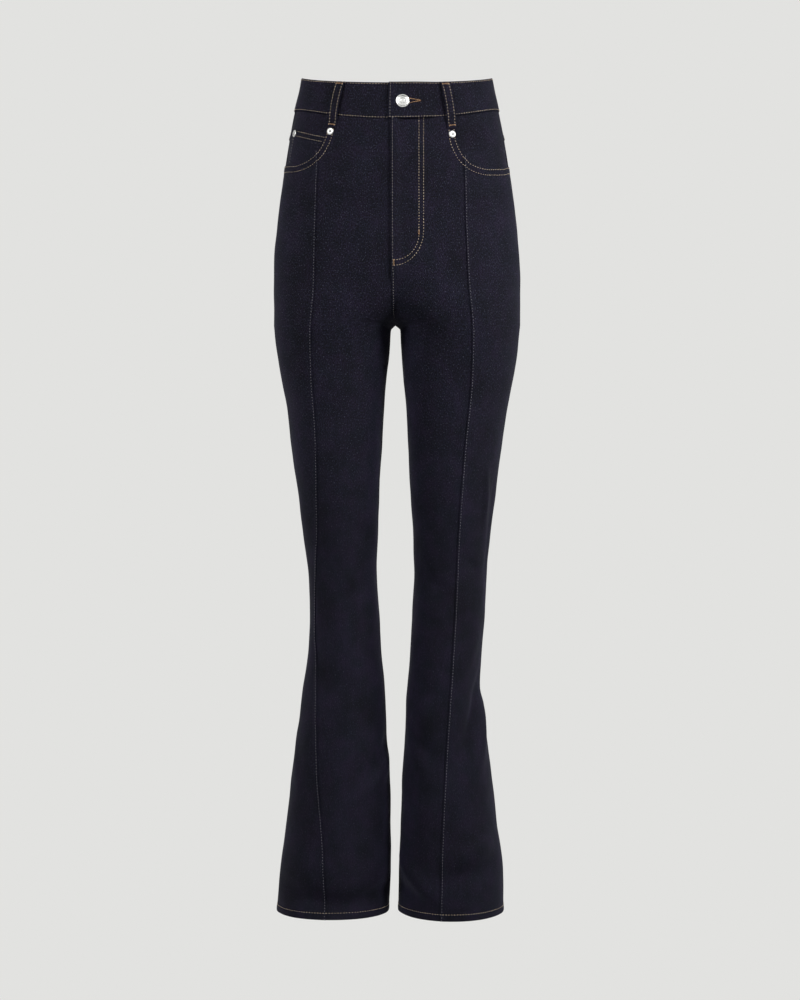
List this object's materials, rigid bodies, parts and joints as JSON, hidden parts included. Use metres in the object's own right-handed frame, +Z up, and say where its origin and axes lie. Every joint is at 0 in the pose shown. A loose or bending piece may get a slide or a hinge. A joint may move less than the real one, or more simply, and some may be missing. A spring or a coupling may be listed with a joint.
{
  "type": "high-waisted bootcut jeans",
  "caption": "Hollow worn-form denim jeans: buttoned waistband, zip fly, scooped front pockets, seamed front legs, yoked back and flared open hems.",
  "frame": {"origin": "centre of the waist opening, level with the waist edge at the side seams", "axes": "+Z up, -Y out of the front of the garment, +X to the wearer's left"},
  "size_m": [0.3202, 0.2322, 1.0868],
  "materials": {
    "denim": "dark rinsed indigo twill",
    "zip_tape": "dark woven tape",
    "steel": "satin nickel plate"
  },
  "bodies": {
    "root": {"waistband": "denim", "front_centre_left": "denim", "front_side_left": "denim", "pocket_facing_left": "denim", "yoke_left": "denim", "back_left": "denim", "back_pocket_left": "denim", "front_centre_right": "denim", "front_side_right": "denim", "pocket_facing_right": "denim", "yoke_right": "denim", "back_right": "denim", "back_pocket_right": "denim", "coin_pocket": "denim", "zip": "zip_tape", "button": "steel", "loop_front_left": "denim", "loop_front_right": "denim", "loop_side_left": "denim", "loop_side_right": "denim", "loop_back": "denim", "rivet_left": "steel", "rivet_right": "steel", "rivet_coin": "steel"}
  },
  "joints": []
}
